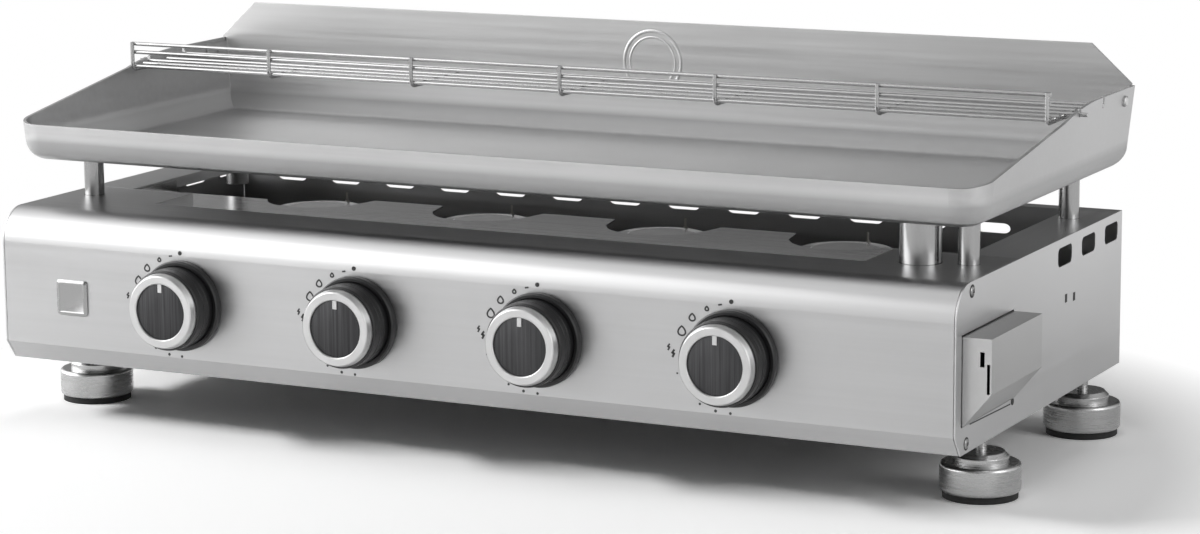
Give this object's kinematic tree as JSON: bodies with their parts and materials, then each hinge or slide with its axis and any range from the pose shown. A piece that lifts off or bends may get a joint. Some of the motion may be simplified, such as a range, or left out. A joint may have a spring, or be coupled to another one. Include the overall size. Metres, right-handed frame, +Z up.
{
  "type": "gas griddle",
  "caption": "Table-top gas griddle: folded steel housing with round burners and knobs, lift-off tray on posts with splash guard, wire warming rack, side grease drawer and levelling feet.",
  "frame": {"origin": "on the floor, under the middle of the whole object's bounding box", "axes": "+X to the object's right, where the grease drawer is, +Y to its back, away from the knobs, +Z up"},
  "size_m": [0.795, 0.3844, 0.284],
  "materials": {
    "steel": "satin brushed",
    "tray_steel": "satin brushed",
    "plain_steel": "mill finish",
    "burner_steel": "satin",
    "bright_steel": "bright",
    "wire": "bright",
    "brass": "machined",
    "ceramic": "glazed",
    "black_plastic": "satin",
    "light_ring": "satin",
    "foot_metal": "satin",
    "rubber": "matte"
  },
  "bodies": {
    "housing": {"front_panel": "steel", "left_side_panel": "steel", "right_side_panel": "steel", "back_panel": "steel", "bottom_pan": "plain_steel", "burner_deck": "plain_steel", "burner_rail": "plain_steel", "burner_1": "burner_steel", "burner_2": "burner_steel", "burner_3": "burner_steel", "burner_4": "burner_steel", "burner_caps": "burner_steel", "igniter_electrodes": "ceramic", "gas_manifold": "brass", "gas_inlet": "brass", "gas_valve_1": "brass", "gas_valve_2": "brass", "gas_valve_3": "brass", "gas_valve_4": "brass", "knob_bezel_1": "black_plastic", "knob_bezel_2": "black_plastic", "knob_bezel_3": "black_plastic", "knob_bezel_4": "black_plastic", "post_cups": "plain_steel", "drawer_guides": "plain_steel"},
    "griddle": {"griddle_plate": "tray_steel", "griddle_posts": "tray_steel", "grease_tube": "tray_steel", "splash_guard": "tray_steel", "guard_screws": "bright_steel"},
    "rack": {"warming_rack": "wire"},
    "drawer": {"grease_drawer": "plain_steel", "drawer_front": "steel"},
    "collar_1": {"valve_collar_1": "bright_steel"},
    "control_1": {"valve_stem_1": "bright_steel", "knob_1": "black_plastic", "knob_ring_1": "light_ring"},
    "collar_2": {"valve_collar_2": "bright_steel"},
    "control_2": {"valve_stem_2": "bright_steel", "knob_2": "black_plastic", "knob_ring_2": "light_ring"},
    "collar_3": {"valve_collar_3": "bright_steel"},
    "control_3": {"valve_stem_3": "bright_steel", "knob_3": "black_plastic", "knob_ring_3": "light_ring"},
    "collar_4": {"valve_collar_4": "bright_steel"},
    "control_4": {"valve_stem_4": "bright_steel", "knob_4": "black_plastic", "knob_ring_4": "light_ring"},
    "front_left": {"front_left_foot": "foot_metal", "front_left_sole": "rubber"},
    "front_right": {"front_right_foot": "foot_metal", "front_right_sole": "rubber"},
    "rear_left": {"rear_left_foot": "foot_metal", "rear_left_sole": "rubber"},
    "rear_right": {"rear_right_foot": "foot_metal", "rear_right_sole": "rubber"}
  },
  "joints": [
    {"name": "griddle_lift", "type": "slide", "parent": "housing", "child": "griddle", "axis": [0, 0, 1], "range_m": [0, 0.06]},
    {"name": "rack_lift", "type": "slide", "parent": "griddle", "child": "rack", "axis": [0, 0, 1], "range_m": [0, 0.04]},
    {"name": "drawer_slide", "type": "slide", "parent": "housing", "child": "drawer", "axis": [1, 0, 0], "range_m": [0, 0.13]},
    {"name": "knob_1_push", "type": "slide", "parent": "housing", "child": "collar_1", "axis": [0, 1, 0], "range_m": [0, 0.003], "stiffness_N_per_m": 2000, "springref_m": -0.001},
    {"name": "knob_1_turn", "type": "hinge", "parent": "collar_1", "child": "control_1", "pos_m": [-0.22351, -0.19225, 0.101], "axis": [0, -1, 0], "range_deg": [0, 180]},
    {"name": "knob_2_push", "type": "slide", "parent": "housing", "child": "collar_2", "axis": [0, 1, 0], "range_m": [0, 0.003], "stiffness_N_per_m": 2000, "springref_m": -0.001},
    {"name": "knob_2_turn", "type": "hinge", "parent": "collar_2", "child": "control_2", "pos_m": [-0.07651, -0.19225, 0.101], "axis": [0, -1, 0], "range_deg": [0, 180]},
    {"name": "knob_3_push", "type": "slide", "parent": "housing", "child": "collar_3", "axis": [0, 1, 0], "range_m": [0, 0.003], "stiffness_N_per_m": 2000, "springref_m": -0.001},
    {"name": "knob_3_turn", "type": "hinge", "parent": "collar_3", "child": "control_3", "pos_m": [0.07049, -0.19225, 0.101], "axis": [0, -1, 0], "range_deg": [0, 180]},
    {"name": "knob_4_push", "type": "slide", "parent": "housing", "child": "collar_4", "axis": [0, 1, 0], "range_m": [0, 0.003], "stiffness_N_per_m": 2000, "springref_m": -0.001},
    {"name": "knob_4_turn", "type": "hinge", "parent": "collar_4", "child": "control_4", "pos_m": [0.21749, -0.19225, 0.101], "axis": [0, -1, 0], "range_deg": [0, 180]},
    {"name": "front_left_level", "type": "slide", "parent": "housing", "child": "front_left", "axis": [0, 0, -1], "range_m": [0, 0.01]},
    {"name": "front_right_level", "type": "slide", "parent": "housing", "child": "front_right", "axis": [0, 0, -1], "range_m": [0, 0.01]},
    {"name": "rear_left_level", "type": "slide", "parent": "housing", "child": "rear_left", "axis": [0, 0, -1], "range_m": [0, 0.01]},
    {"name": "rear_right_level", "type": "slide", "parent": "housing", "child": "rear_right", "axis": [0, 0, -1], "range_m": [0, 0.01]}
  ]
}
